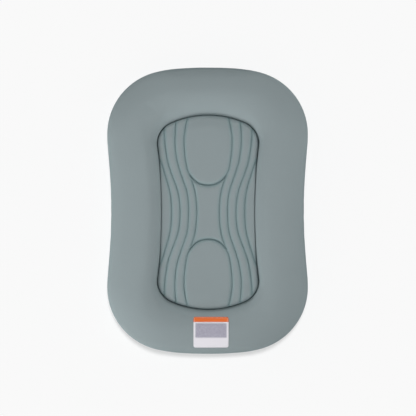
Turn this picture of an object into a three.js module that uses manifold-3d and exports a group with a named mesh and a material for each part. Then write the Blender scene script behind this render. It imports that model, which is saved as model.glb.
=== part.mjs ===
// Infant lounger: a broad crowned rim round a well, with a channelled pad that lifts out of the well.
// A fabric cover holds the foam rim, and a zip across the underside near the foot end opens it.
// Millimetres, +Z up, +Y towards the head end. The origin is on the floor under the middle.
import * as THREE from 'three';
import { mergeVertices } from 'three/addons/utils/BufferGeometryUtils.js';
import Module from 'manifold-3d';

const wasm = await Module();
wasm.setup();

// Overall plan: each outline is two end arcs, four corner arcs and two sides drawn in at the waist
const outerWidth = 521;
const outerLength = 737;
const outerEndRadius = 966;
const outerCornerRadius = 166;
const wellWidth = 263;
const wellLength = 503;
const wellEndRadius = 232;
const wellCornerRadius = 57;
const waistTuck = 12;

// The crown line keeps its share of the way from the well to the outer edge
const crownSideShare = 0.275;
const crownEndShare = 0.48;
const crownEndRadius = 460;
const crownCornerRadius = 96;
const crownWidth = wellWidth + (outerWidth - wellWidth) * crownSideShare;
const crownLength = wellLength + (outerLength - wellLength) * crownEndShare;

// Rim section, from the underside seam over the crown to the well. The widths that the rim has to
// have room for are shares of its width at the ends.
const flankShare = 0.4;
const underTurnShare = 0.13;
const hemShare = 0.24;
const endRimWidth = (outerLength - wellLength) / 2;
const flankWidth = endRimWidth * flankShare;
const underTurn = endRimWidth * underTurnShare;
const hemWidth = endRimWidth * hemShare;
const rimHeight = 90;
const shoulderHeight = 71;
const shoulderRound = 9;
const flankHeight = 84.5;
const innerDrop = 10.5;
const wellEdgeRound = 12;
const wellEdgeReach = 1.5;
const wellEdgeMidShare = 0.35;
const outerCrownShare = 0.5;
const outerCrownHeightShare = 0.62;
const innerCrownShare = 0.5;
const innerEdgeShare = 0.85;
const coverThickness = 1.6;

// Floor of the lounger and of the well
const basePanelThickness = 3;
const wellFloorHeight = 25;
const wellFloorThickness = 1.5;
const gap = 0.3;

// Lift-out pad
const padClearance = 0.8;
const padCrest = 78;
const padShoulderWidth = 16;
const padShoulderDrop = 14;
const padBackingThickness = 1.5;
const padQuiltThickness = 9;
const padWallThickness = 2;
const channelDepth = 5;
const channelHalfWidth = 7.5;
const channelOverrun = 3;

// Label on the foot rim
const labelWidth = 90;
const labelFootMargin = 16;
const labelWellMargin = 23;
const labelLength = endRimWidth - labelFootMargin - labelWellMargin;
const labelBandShare = 0.16;
const labelCentreX = 9;
const labelCornerRadius = 5;
const labelThickness = 0.5;

// Zip across the underside
const zipShare = 0.58;
const zipToFoot = endRimWidth * zipShare;
const zipSideMargin = 115.5;
const zipChainLength = outerWidth - 2 * zipSideMargin;
const zipSlotWidth = 14;
const zipTapeWidth = 12;
const zipTapeThickness = 0.6;
const zipHemWidth = 6;
const zipEndMargin = 18;
const toothPitch = 3.4;
const toothWidth = 1.6;
const toothReach = 1.2;
const toothBead = 1.8;
const toothThickness = 2.2;
const teethGap = 1;
const stopLength = 3;
const stopHeight = 3.2;
const foamRecessMargin = 3;

// Slider and pull of the zip
const sliderLength = 12;
const sliderPlateThickness = 1.2;
const sliderLipWidth = 0.8;
const sliderBridgeLength = 4;
const bailLength = 7;
const bailWidth = 2;
const bailBar = 0.8;
const bailClear = 1.5;
const pullLength = 24;
const pullWidth = 7;
const pullThickness = 0.9;
const pullWindowLength = 5;
const sliderFloorClearance = 0.7;

// Counts of straight steps in the arcs and curves
const endSteps = 3;
const cornerSteps = 6;
const sideSteps = 2;
const channelSteps = 13;
const ovalEndSteps = 6;
const roundSteps = 3;
const pullBarSteps = 12;
const coreRoundSteps = 2;

// The four channels of one quarter of the pad, as shares of its half length and half width
const channelShares = [
  [[0, 0.22], [0.2, 0.252], [0.36, 0.34], [0.47, 0.42], [0.7, 0.47], [0.86, 0.445], [1.04, 0.37]],
  [[0, 0.382], [0.2, 0.41], [0.41, 0.54], [0.54, 0.61], [0.7, 0.648], [0.86, 0.64], [1.04, 0.61]],
  [[0, 0.547], [0.2, 0.585], [0.41, 0.725], [0.52, 0.79], [0.7, 0.845], [0.84, 0.862], [0.96, 0.87]],
  [[0, 0.716], [0.2, 0.745], [0.41, 0.857], [0.52, 0.93], [0.64, 1.05]],
];
const ovalEndShares = [[0.277, 0], [0.286, 0.13], [0.315, 0.24], [0.375, 0.35]];

const outerOutline = outline(outerWidth, outerLength, outerEndRadius, outerCornerRadius);
const wellOutline = outline(wellWidth, wellLength, wellEndRadius, wellCornerRadius);
const crownOutline = outline(crownWidth, crownLength, crownEndRadius, crownCornerRadius);

// An outline keeps the centres, radii and angles of the arcs in its first quarter
function outline(width, length, endRadius, cornerRadius) {
  const waist = width / 2 - waistTuck;
  const endY = length / 2 - endRadius;
  const cornerX = width / 2 - cornerRadius;
  const cornerY = endY + Math.sqrt((endRadius - cornerRadius) ** 2 - cornerX ** 2);
  const sideRadius = (cornerY ** 2 + (waist - cornerX) ** 2 - cornerRadius ** 2) / (2 * waistTuck);
  const sideX = waist + sideRadius;
  const endAngle = Math.atan2(cornerX, cornerY - endY);
  const sideAngle = Math.atan2(cornerY, sideX - cornerX);
  return { endRadius, cornerRadius, sideRadius, endY, cornerX, cornerY, sideX, endAngle, sideAngle };
}

// One closed loop of points, inset from the outline and seen from above against the clock
function loop(shape, inset) {
  const quarter = [];
  for (let i = 0; i <= endSteps; i += 1) {
    const angle = shape.endAngle * i / endSteps;
    const radius = shape.endRadius - inset;
    quarter.push([radius * Math.sin(angle), shape.endY + radius * Math.cos(angle)]);
  }
  const cornerSweep = Math.PI / 2 + shape.sideAngle - shape.endAngle;
  for (let i = 1; i <= cornerSteps; i += 1) {
    const angle = shape.endAngle + cornerSweep * i / cornerSteps;
    const radius = shape.cornerRadius - inset;
    quarter.push([shape.cornerX + radius * Math.sin(angle), shape.cornerY + radius * Math.cos(angle)]);
  }
  for (let i = 1; i <= sideSteps; i += 1) {
    const angle = shape.sideAngle * (1 - i / sideSteps);
    const radius = shape.sideRadius + inset;
    quarter.push([shape.sideX - radius * Math.cos(angle), radius * Math.sin(angle)]);
  }
  const back = [...quarter].reverse();
  return [
    ...back,
    ...quarter.slice(1).map(([x, y]) => [-x, y]),
    ...back.slice(1).map(([x, y]) => [-x, -y]),
    ...quarter.slice(1, -1).map(([x, y]) => [x, -y]),
  ];
}

// How far a point lies inside an outline, by the arc whose sector it is in
function edgeDistance(shape, x, y) {
  const [ax, ay] = [Math.abs(x), Math.abs(y)];
  const cornerAngle = Math.atan2(ax - shape.cornerX, ay - shape.cornerY);
  const fromEnd = shape.endRadius - Math.hypot(ax, ay - shape.endY);
  const fromSide = Math.hypot(shape.sideX - ax, ay) - shape.sideRadius;
  if (cornerAngle > shape.endAngle && cornerAngle < Math.PI / 2 + shape.sideAngle) {
    return shape.cornerRadius - Math.hypot(ax - shape.cornerX, ay - shape.cornerY);
  }
  return Math.min(fromEnd, fromSide);
}

function lift(points, z) {
  return points.map(([x, y]) => [x, y, z]);
}

// The loop that lies between two others, at a share of the way and at its own height
function between(first, second, share, z) {
  return first.map(([x, y], i) => [
    THREE.MathUtils.lerp(x, second[i][0], share),
    THREE.MathUtils.lerp(y, second[i][1], share),
    z,
  ]);
}

function meshFrom(positions, triangles) {
  const corner = (i) => new THREE.Vector3(...positions.slice(3 * i, 3 * i + 3));
  let volume = 0;
  for (let i = 0; i < triangles.length; i += 3) {
    const [a, b, c] = [0, 1, 2].map((k) => corner(triangles[i + k]));
    volume += a.dot(b.cross(c));
  }
  const geometry = new THREE.BufferGeometry();
  geometry.setAttribute('position', new THREE.Float32BufferAttribute(positions, 3));
  geometry.setIndex(volume < 0 ? [...triangles].reverse() : triangles);
  return geometry;
}

// Joins rings of equal count in order, each four corners split along their shorter diagonal. A
// ring-shaped body joins the last to the first, and any other has its ends closed by a fan.
function loft(rings, ringShaped) {
  const count = rings[0].length;
  const points = rings.flat();
  const positions = points.flat();
  const triangles = [];
  const span = (i, k) => Math.hypot(...points[i].map((value, axis) => value - points[k][axis]));
  const bands = ringShaped ? rings.length : rings.length - 1;
  for (let band = 0; band < bands; band += 1) {
    const low = band * count;
    const high = ((band + 1) % rings.length) * count;
    for (let i = 0; i < count; i += 1) {
      const next = (i + 1) % count;
      const [a, b, c, d] = [low + i, low + next, high + next, high + i];
      triangles.push(...(span(a, c) < span(b, d) ? [a, b, c, a, c, d] : [a, b, d, b, c, d]));
    }
  }
  if (!ringShaped) {
    const last = (rings.length - 1) * count;
    const firstMiddle = rings.length * count;
    positions.push(0, 0, rings[0][0][2], 0, 0, rings.at(-1)[0][2]);
    for (let i = 0; i < count; i += 1) {
      const next = (i + 1) % count;
      triangles.push(firstMiddle, next, i, firstMiddle + 1, last + i, last + next);
    }
  }
  return meshFrom(positions, triangles);
}

function solid(geometry) {
  const bare = geometry.clone();
  bare.deleteAttribute('normal');
  bare.deleteAttribute('uv');
  const merged = mergeVertices(bare);
  return new wasm.Manifold(new wasm.Mesh({
    numProp: 3,
    vertProperties: new Float32Array(merged.attributes.position.array),
    triVerts: new Uint32Array(merged.index.array),
  }));
}

function geometryOf(body) {
  const mesh = body.getMesh();
  const geometry = new THREE.BufferGeometry();
  geometry.setAttribute('position', new THREE.Float32BufferAttribute(mesh.vertProperties, 3));
  geometry.setIndex(Array.from(mesh.triVerts));
  return geometry;
}

// A box between two corners
function block([x0, y0, z0], [x1, y1, z1]) {
  const box = new THREE.BoxGeometry(Math.abs(x1 - x0), Math.abs(y1 - y0), Math.abs(z1 - z0));
  return box.translate((x0 + x1) / 2, (y0 + y1) / 2, (z0 + z1) / 2);
}

function prism(shape, z0, z1) {
  return new THREE.ExtrudeGeometry(shape, { depth: z1 - z0, bevelEnabled: false }).translate(0, 0, z0);
}

function joined(...geometries) {
  return geometries.map(solid).reduce((all, next) => all.add(next));
}

const fabric = { color: 0x8b9698, roughness: 0.92, metalness: 0 };
const foam = { color: 0xe9e4d6, roughness: 0.95, metalness: 0 };
const whiteSatin = { color: 0xecebef, roughness: 0.6, metalness: 0 };
const orangeSatin = { color: 0xde6e37, roughness: 0.6, metalness: 0 };
const greyPlastic = { color: 0x6f7a7d, roughness: 0.5, metalness: 0 };
const greyMetal = { color: 0x7b8487, roughness: 0.4, metalness: 0.7 };

const lounger = new THREE.Group();
function addPart(name, geometry, finish) {
  geometry.computeVertexNormals();
  const mesh = new THREE.Mesh(geometry, new THREE.MeshStandardMaterial(finish));
  mesh.name = name;
  lounger.add(mesh);
}

// Rim: rings from the underside seam, up the side and over the crown to the well's floor.
// Depth is how far below the outer face of the cover they lie.
function rimRings(depth) {
  const outerAt = (inset, z) => lift(loop(outerOutline, inset), z);
  const wellAt = (outset, z) => lift(loop(wellOutline, -outset), z);
  const slant = depth * Math.SQRT1_2;
  const hemZ = basePanelThickness - coverThickness + depth;
  const footZ = basePanelThickness - coverThickness + underTurn;
  const edgeZ = rimHeight - innerDrop;
  const underMid = underTurn * (1 - Math.SQRT1_2);
  const roundMid = shoulderRound * (1 - Math.SQRT1_2);
  const flank = outerAt(flankWidth, flankHeight - depth);
  const crown = lift(loop(crownOutline, 0), rimHeight - depth);
  const wellEdge = wellAt(0, edgeZ - depth);
  const outerCrownZ = THREE.MathUtils.lerp(flankHeight, rimHeight, outerCrownHeightShare);
  const innerSlope = (share) => between(crown, wellEdge, share, rimHeight - innerDrop * share ** 2 - depth);
  return {
    hem: outerAt(hemWidth, hemZ),
    under: outerAt(underTurn, hemZ),
    underMid: outerAt(underMid + slant, footZ - underTurn + underMid + slant),
    sideFoot: outerAt(depth, footZ),
    sideTop: outerAt(depth, shoulderHeight - shoulderRound),
    shoulderMid: outerAt(roundMid + slant, shoulderHeight - roundMid - slant),
    shoulder: outerAt(shoulderRound + slant, shoulderHeight - depth),
    flank,
    outerCrown: between(flank, crown, outerCrownShare, outerCrownZ - depth),
    crown,
    innerCrown: innerSlope(innerCrownShare),
    innerEdge: innerSlope(innerEdgeShare),
    wellRound: wellAt(wellEdgeReach + slant, edgeZ - wellEdgeRound * wellEdgeMidShare - slant),
    wallTop: wellAt(depth, edgeZ - wellEdgeRound),
    wallFoot: wellAt(depth, wellFloorHeight),
  };
}

// Below the skin the rim has fewer rings, the same ones on the cover's inner face and on the foam
function coreRings(depth) {
  const { underMid, outerCrown, innerCrown, ...rings } = rimRings(depth);
  return rings;
}

const foamDepth = coverThickness + gap;
const foamFloor = basePanelThickness + gap;
const coverSkin = Object.values(rimRings(0));
const coverLining = Object.values(coreRings(coverThickness)).reverse();
addPart('rim_cover', loft([...coverSkin, ...coverLining], true), fabric);

// Zip: places across and along the underside, and the height of the tapes
const zipY = -outerLength / 2 + zipToFoot;
const chainEnd = zipChainLength / 2;
const slotEnd = chainEnd + zipEndMargin;
const tapeEnd = slotEnd + zipHemWidth / 2;
const toothTip = teethGap / 2;
const toothRoot = toothTip + toothReach;
const beadEdge = toothRoot + toothBead;
const tapeEdge = beadEdge + gap;
const tapeOuter = tapeEdge + zipTapeWidth;
const plateInner = toothThickness / 2 + gap;
const plateOuter = plateInner + sliderPlateThickness;
const zipZ = sliderFloorClearance + plateOuter + bailClear + bailBar;
const hemTop = zipZ - zipTapeThickness / 2 - gap;
const recessTop = zipZ + plateOuter + foamRecessMargin;

const rimFoamRings = { ...coreRings(foamDepth), wallFoot: lift(loop(wellOutline, -foamDepth), foamFloor) };
const recess = block(
  [-tapeEnd - foamRecessMargin, zipY - tapeOuter - foamRecessMargin, 0],
  [tapeEnd + foamRecessMargin, zipY + tapeOuter + foamRecessMargin, recessTop],
);
const rimFoam = solid(loft(Object.values(rimFoamRings), true)).subtract(solid(recess));
addPart('rim_foam', geometryOf(rimFoam), foam);

// Floor of the well: a foam board, and the fabric floor sewn to the well's wall
addPart('base_foam', loft([
  lift(loop(wellOutline, gap - foamDepth), foamFloor),
  lift(loop(wellOutline, gap - foamDepth), wellFloorHeight - gap),
], false), foam);
const wellFloorTop = wellFloorHeight + wellFloorThickness;
addPart('well_floor', loft([
  lift(loop(wellOutline, gap), wellFloorHeight),
  lift(loop(wellOutline, gap), wellFloorTop),
], false), fabric);

// Underside: a panel on each side of the zip, each with a folded hem along the zip's slot
function basePanel(side) {
  const farEdge = side * outerLength;
  const plate = solid(loft([
    lift(loop(outerOutline, hemWidth + gap), 0),
    lift(loop(outerOutline, hemWidth + gap), basePanelThickness),
  ], false));
  const otherSide = block(
    [-outerWidth, zipY - farEdge, -outerWidth],
    [outerWidth, zipY + side * gap / 2, outerWidth],
  );
  const slotY = zipY + side * zipSlotWidth / 2;
  const slot = block([-slotEnd, zipY - farEdge, -outerWidth], [slotEnd, slotY, outerWidth]);
  const hem = block([-slotEnd, slotY, 0], [slotEnd, slotY + side * zipHemWidth, hemTop]);
  return geometryOf(plate.subtract(solid(otherSide)).subtract(solid(slot)).add(solid(hem)));
}
addPart('base_panel_head', basePanel(1), fabric);
addPart('base_panel_foot', basePanel(-1), fabric);

function zipTape(side) {
  const [inner, outer] = [zipY + side * tapeEdge, zipY + side * tapeOuter];
  const half = zipTapeThickness / 2;
  return block([-tapeEnd, inner, zipZ - half], [tapeEnd, outer, zipZ + half]);
}
addPart('zip_tape_head', zipTape(1), fabric);
addPart('zip_tape_foot', zipTape(-1), fabric);

// A row of teeth on its bead; the foot row is set half a pitch along, so that the rows mesh
function zipTeeth(side) {
  const shape = new THREE.Shape();
  const start = -chainEnd + (side > 0 ? 0 : toothPitch / 2);
  shape.moveTo(-chainEnd, side * beadEdge);
  shape.lineTo(-chainEnd, side * toothRoot);
  for (let x = start + toothWidth / 2; x + toothWidth < chainEnd; x += toothPitch) {
    shape.lineTo(x, side * toothRoot);
    shape.lineTo(x, side * toothTip);
    shape.lineTo(x + toothWidth, side * toothTip);
    shape.lineTo(x + toothWidth, side * toothRoot);
  }
  shape.lineTo(chainEnd, side * toothRoot);
  shape.lineTo(chainEnd, side * beadEdge);
  const half = toothThickness / 2;
  return prism(shape, zipZ - half, zipZ + half).translate(0, zipY, 0);
}
addPart('zip_teeth_head', zipTeeth(1), greyPlastic);
addPart('zip_teeth_foot', zipTeeth(-1), greyPlastic);

// End stops: one on each tape at the closed end, and one across both tapes at the open end
function zipStop(x, inner, outer) {
  const half = stopHeight / 2;
  return block([x, zipY + inner, zipZ - half], [x + stopLength, zipY + outer, zipZ + half]);
}
addPart('zip_top_stop_head', zipStop(chainEnd + gap, toothTip, beadEdge), greyMetal);
addPart('zip_top_stop_foot', zipStop(chainEnd + gap, -beadEdge, -toothTip), greyMetal);
addPart('zip_bottom_stop', zipStop(-chainEnd - gap - stopLength, -beadEdge, beadEdge), greyMetal);

// Slider, parked at the closed end: two plates with lips, a bridge between them and a bail
const sliderX = chainEnd - sliderLength / 2 - gap;
const sliderFront = sliderLength / 2;
const lipInner = beadEdge + gap;
const lipOuter = lipInner + sliderLipWidth;
const lipEdge = zipTapeThickness / 2 + gap;
const bailTop = plateOuter + bailClear;
const bailBottom = bailTop + bailBar;
function sliderBody() {
  const pieces = [];
  for (const up of [-1, 1]) {
    pieces.push(block([-sliderFront, -lipOuter, up * plateInner], [sliderFront, lipOuter, up * plateOuter]));
    for (const side of [-1, 1]) {
      pieces.push(block(
        [-sliderFront, side * lipInner, up * lipEdge],
        [sliderFront, side * lipOuter, up * plateOuter],
      ));
    }
  }
  const bridgeHalf = toothTip - gap;
  pieces.push(block(
    [sliderFront - sliderBridgeLength, -bridgeHalf, -plateOuter],
    [sliderFront, bridgeHalf, plateOuter],
  ));
  const bailHalf = bailWidth / 2;
  for (const end of [-1, 1]) {
    pieces.push(block(
      [end * (bailLength / 2 - bailBar), -bailHalf, -bailBottom],
      [end * bailLength / 2, bailHalf, -plateInner],
    ));
  }
  pieces.push(block([-bailLength / 2, -bailHalf, -bailBottom], [bailLength / 2, bailHalf, -bailTop]));
  return joined(...pieces);
}
addPart('zip_slider', geometryOf(sliderBody()).translate(sliderX, zipY, zipZ), greyMetal);

// Pull: a tab whose window goes round the bail, turning on the round bar at its end
const pullAxisZ = zipZ - plateOuter - bailClear / 2;
function pullTab() {
  const half = pullThickness / 2;
  const windowHalf = bailWidth / 2 + gap;
  const tab = block([0, -pullWidth / 2, -half], [-pullLength, pullWidth / 2, half]);
  const hole = block([half, -windowHalf, -pullLength], [-half - pullWindowLength, windowHalf, pullLength]);
  const bar = new THREE.CylinderGeometry(half, half, pullWidth, pullBarSteps);
  return solid(tab).subtract(solid(hole)).add(solid(bar));
}
addPart('zip_pull', geometryOf(pullTab()).translate(sliderX, zipY, pullAxisZ), greyMetal);

// Pad: rings from the foot of a wall to a crest, rounded over a shoulder
const padBottom = wellFloorTop + gap;
const padCoverBottom = padBottom + padBackingThickness + gap;
function padRings(inset, topDrop, steps) {
  const padLoop = (extra, z) => lift(loop(wellOutline, padClearance + inset + extra), z);
  const crest = padCrest - topDrop;
  const rings = [padLoop(0, padCoverBottom)];
  for (let i = 0; i <= steps; i += 1) {
    const angle = Math.PI / 2 * i / steps;
    const drop = padShoulderDrop * (1 - Math.sin(angle));
    rings.push(padLoop(padShoulderWidth * (1 - Math.cos(angle)), crest - drop));
  }
  return rings;
}

function padTop(x, y) {
  const distance = edgeDistance(wellOutline, x, y) - padClearance;
  const share = THREE.MathUtils.clamp(distance / padShoulderWidth, 0, 1);
  return padCrest - padShoulderDrop * (1 - Math.sqrt(1 - (1 - share) ** 2));
}

// A channel's cutter: a wedge along a curve, pointed below the pad's top and open above it
function channelCutter(points, steps) {
  const curve = new THREE.CatmullRomCurve3(points.map(([x, y]) => new THREE.Vector3(x, y, 0)));
  const spread = channelHalfWidth * (channelDepth + channelOverrun) / channelDepth;
  const sections = [];
  for (let i = 0; i <= steps; i += 1) {
    const place = curve.getPoint(i / steps);
    const along = curve.getTangent(i / steps);
    const top = padTop(place.x, place.y);
    const edge = (side) => [
      place.x - side * along.y * spread,
      place.y + side * along.x * spread,
      top + channelOverrun,
    ];
    sections.push([edge(-1), edge(1), [place.x, place.y, top - channelDepth]]);
  }
  const triangles = [0, 2, 1];
  for (let i = 0; i < steps; i += 1) {
    for (let k = 0; k < 3; k += 1) {
      const [a, b] = [3 * i + k, 3 * i + (k + 1) % 3];
      triangles.push(a, b, b + 3, a, b + 3, a + 3);
    }
  }
  const last = 3 * steps;
  triangles.push(last, last + 1, last + 2);
  return meshFrom(sections.flat(2), triangles);
}

function channelCutters() {
  const place = (side, end) => ([along, across]) => [
    side * across * wellWidth / 2,
    end * along * wellLength / 2,
  ];
  const whole = (shares, put) => [...shares.slice(1).map(put(-1)).reverse(), ...shares.map(put(1))];
  const cutters = [];
  for (const sign of [-1, 1]) {
    for (const shares of channelShares) {
      cutters.push(channelCutter(whole(shares, (end) => place(sign, end)), channelSteps));
    }
    cutters.push(channelCutter(whole(ovalEndShares, (side) => place(side, sign)), ovalEndSteps));
  }
  return cutters;
}

function padCover() {
  const lining = padRings(padWallThickness, padQuiltThickness, coreRoundSteps).reverse();
  const plain = solid(loft([...lining, ...padRings(0, 0, roundSteps)], false));
  return channelCutters().reduce((cover, cutter) => cover.subtract(solid(cutter)), plain);
}
addPart('pad_cover', geometryOf(padCover()), fabric);
const padFoamRings = padRings(padWallThickness + gap, padQuiltThickness + gap, coreRoundSteps);
addPart('pad_foam', loft(padFoamRings, false), foam);
addPart('pad_backing', loft([
  lift(loop(wellOutline, padClearance), padBottom),
  lift(loop(wellOutline, padClearance), padBottom + padBackingThickness),
], false), fabric);

// Label: a patch that follows the foot rim, with a coloured band along its upper edge
function labelPatch(y0, y1) {
  const face = (depth) => {
    const { shoulder, flank, outerCrown, crown, innerCrown, innerEdge } = rimRings(depth);
    return [shoulder, flank, outerCrown, crown, innerCrown, innerEdge];
  };
  const skin = loft([...face(-gap - labelThickness), ...face(-gap).reverse()], true);
  const [halfX, halfY, radius] = [labelWidth / 2, labelLength / 2, labelCornerRadius];
  const shape = new THREE.Shape();
  shape.absarc(halfX - radius, halfY - radius, radius, 0, Math.PI / 2);
  shape.absarc(radius - halfX, halfY - radius, radius, Math.PI / 2, Math.PI);
  shape.absarc(radius - halfX, radius - halfY, radius, Math.PI, Math.PI * 3 / 2);
  shape.absarc(halfX - radius, radius - halfY, radius, Math.PI * 3 / 2, Math.PI * 2);
  const outlineBody = prism(new THREE.Shape(shape.getPoints(roundSteps)), 0, 2 * rimHeight);
  outlineBody.translate(labelCentreX, labelCentreY, 0);
  const part = block([-outerWidth, y0, 0], [outerWidth, y1, 2 * rimHeight]);
  return geometryOf(solid(skin).intersect(solid(outlineBody)).intersect(solid(part)));
}
const labelCentreY = -outerLength / 2 + labelFootMargin + labelLength / 2;
const bandY = labelCentreY + labelLength / 2 - labelLength * labelBandShare;
addPart('label', labelPatch(-outerLength, bandY), whiteSatin);
addPart('label_band', labelPatch(bandY + gap, 0), orangeSatin);

export default lounger;
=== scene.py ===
import math

import bmesh
import bpy
import numpy as np
from mathutils import Matrix, Vector
from mathutils.bvhtree import BVHTree
from mathutils.geometry import delaunay_2d_cdt


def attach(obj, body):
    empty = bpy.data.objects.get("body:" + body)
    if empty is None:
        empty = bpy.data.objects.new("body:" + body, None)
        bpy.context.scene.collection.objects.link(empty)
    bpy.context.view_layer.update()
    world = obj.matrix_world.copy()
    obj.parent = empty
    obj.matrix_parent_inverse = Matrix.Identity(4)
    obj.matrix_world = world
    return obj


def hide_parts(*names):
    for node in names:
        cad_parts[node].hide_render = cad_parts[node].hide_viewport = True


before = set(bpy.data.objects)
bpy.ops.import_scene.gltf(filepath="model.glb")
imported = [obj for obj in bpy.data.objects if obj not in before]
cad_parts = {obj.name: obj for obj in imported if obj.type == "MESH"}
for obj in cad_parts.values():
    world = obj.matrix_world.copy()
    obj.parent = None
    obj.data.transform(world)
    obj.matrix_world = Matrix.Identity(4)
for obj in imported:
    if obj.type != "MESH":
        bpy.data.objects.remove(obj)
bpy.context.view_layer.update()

scene = bpy.context.scene

# Infant lounger in metres, +Z up, +Y towards the head end, on the CAD's own frame.

# Plan outlines: width, length, end radius, corner radius
OUTER_PLAN = (0.521, 0.737, 0.966, 0.166)
WELL_PLAN = (0.263, 0.503, 0.232, 0.057)
WELL_CENTRE = (0.0015, -0.004)
CROWN_PLAN = (0.33395, 0.61532, 0.460, 0.096)
WAIST_TUCK = 0.012

# Rim section. Pairs are for the sides and the ends, and the corners lie between them
RIM_HEIGHT = 0.090
ROUND_HEIGHT = 0.040
TOP_FALL = (0.22, 0.16)
CORNER_FALL = 0.12
TOP_ROUND = (0.45, 0.25)
EDGE_POWER = (4.0, 8.0)
INNER_DROPS = (0.012, 0.021)
CORNER_DROPS = {"waist": 0.0135, "side": 0.018, "head": 0.021, "foot": 0.028}
CORNER_ROUND = 0.008
SLOPE_SHARE = 0.65
WAIST_HALF, WIDENING_LENGTH = 0.07, 0.08
UNDER_TURN = 0.01521
HEM_WIDTH = 0.02808
SKIN_FOOT = 0.0014
COVER_THICKNESS = 0.0016
WELL_FLOOR = 0.025
RIM_PRESSURE = 3.0
RIM_SWELL = 0.002
HEM_EASE = 0.5
NEAR = 0.0001
GAP = 0.0003

# Pad
PAD_CLEARANCE = 0.00025
PAD_ROOM = 0.001
PAD_CREST = 0.078
PAD_SHOULDER_WIDTH = 0.011
PAD_SHOULDER_DROP = 0.016
WAIST_SHOULDER_DROP = 0.003
PAD_COVER_FOOT = 0.0286
PAD_WALL = 0.002
PAD_QUILT = 0.009
PAD_PRESSURE = 4.0
PAD_SWELL = 0.002
CHANNEL_DEPTH = 0.0044
OVAL_DEPTH = 0.0098
CHANNEL_HALF_WIDTH = 0.0082

# The four channels of one quarter of the pad: shares of the well's half length and half width
CHANNEL_SHARES = (
    ((0, 0.22), (0.2, 0.252), (0.36, 0.34), (0.47, 0.42), (0.7, 0.47), (0.86, 0.445), (1.04, 0.37)),
    ((0, 0.382), (0.2, 0.41), (0.41, 0.54), (0.54, 0.61), (0.7, 0.648), (0.86, 0.64), (1.04, 0.61)),
    ((0, 0.547), (0.2, 0.585), (0.41, 0.725), (0.52, 0.79), (0.7, 0.845), (0.84, 0.862),
     (0.96, 0.87)),
    ((0, 0.716), (0.2, 0.745), (0.41, 0.857), (0.52, 0.93), (0.64, 1.05)),
)
OVAL_END_SHARES = ((0.277, 0), (0.286, 0.13), (0.315, 0.24), (0.375, 0.35))

# Steps along an outline's end arc, corner arc and side in each quarter
PAD_STEPS = (30, 44, 44)
FINE_STEPS = (14, 20, 20)
FORM_STEPS = (8, 12, 12)
COARSE_STEPS = (6, 10, 8)


def arc(x, y, radius, angle):
    return np.column_stack([x + radius * np.sin(angle), y + radius * np.cos(angle)])


class Outline:
    """Two end arcs, four corner arcs and two sides drawn in at the waist, as in the CAD."""

    def __init__(self, width, length, end_radius, corner_radius, centre=(0, 0), tuck=WAIST_TUCK):
        self.centre = np.array(centre)
        waist = width / 2 - tuck
        self.end_radius = end_radius
        self.corner_radius = corner_radius
        self.end_y = length / 2 - end_radius
        self.corner_x = width / 2 - corner_radius
        reach = math.sqrt((end_radius - corner_radius) ** 2 - self.corner_x ** 2)
        self.corner_y = self.end_y + reach
        bow = self.corner_y ** 2 + (waist - self.corner_x) ** 2 - corner_radius ** 2
        self.side_radius = bow / (2 * tuck)
        self.side_x = waist + self.side_radius
        self.end_angle = math.atan2(self.corner_x, self.corner_y - self.end_y)
        self.side_angle = math.atan2(self.corner_y, self.side_x - self.corner_x)

    def loop(self, inset, steps=FINE_STEPS):
        """A closed loop, inset from the outline, clockwise from the middle of the head end."""
        ends, corners, sides = steps
        angle = self.end_angle * np.arange(ends + 1) / ends
        end = arc(0, self.end_y, self.end_radius - inset, angle)
        sweep = math.pi / 2 + self.side_angle - self.end_angle
        angle = self.end_angle + sweep * np.arange(1, corners + 1) / corners
        corner = arc(self.corner_x, self.corner_y, self.corner_radius - inset, angle)
        angle = self.side_angle * (1 - np.arange(1, sides + 1) / sides)
        radius = self.side_radius + inset
        side = np.column_stack([self.side_x - radius * np.cos(angle), radius * np.sin(angle)])
        quarter = np.vstack([end, corner, side])
        back = quarter[::-1]
        return self.centre + np.vstack([
            quarter, back[1:] * (1, -1), quarter[1:] * (-1, -1), back[1:-1] * (-1, 1),
        ])

    def distance(self, points):
        """How far inside the outline each point lies, by the arc whose sector it is in."""
        x, y = np.abs(points[:, :2] - self.centre).T
        angle = np.arctan2(x - self.corner_x, y - self.corner_y)
        from_end = self.end_radius - np.hypot(x, y - self.end_y)
        from_side = np.hypot(self.side_x - x, y) - self.side_radius
        from_corner = self.corner_radius - np.hypot(x - self.corner_x, y - self.corner_y)
        in_corner = (angle > self.end_angle) & (angle < math.pi / 2 + self.side_angle)
        return np.where(in_corner, from_corner, np.minimum(from_end, from_side))


outer_line = Outline(*OUTER_PLAN)
well_line = Outline(*WELL_PLAN, centre=WELL_CENTRE)
pad_plan_size = (WELL_PLAN[0] - 2 * PAD_ROOM, WELL_PLAN[1] - 2 * PAD_ROOM, *WELL_PLAN[2:])
pad_line = Outline(*pad_plan_size, centre=WELL_CENTRE, tuck=WAIST_TUCK - PAD_ROOM)
crown_line = Outline(*CROWN_PLAN)


def lift(loop, z):
    return np.column_stack([loop, np.broadcast_to(z, len(loop))])


def quarter_turn(count):
    return np.linspace(0, math.pi / 2, count)


def turned_under(line, inset, foot, radius, count):
    """Rings round a line's lower edge, from its foot up to its side."""
    return [lift(line.loop(inset + radius * (1 - math.sin(turn))),
                 foot + radius * (1 - math.cos(turn))) for turn in quarter_turn(count)]


def rounded_off(line, inset, top, width, drop, count, steps=FINE_STEPS):
    """Rings round a line's upper edge, from its side over to its top."""
    return [lift(line.loop(inset + width * (1 - math.cos(turn)), steps),
                 top - drop * (1 - math.sin(turn))) for turn in quarter_turn(count)]


def full_turn(sides):
    """The cosines and sines of even steps round a circle."""
    angle = np.arange(sides) * 2 * math.pi / sides
    return np.cos(angle), np.sin(angle)


# Meshes

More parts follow.
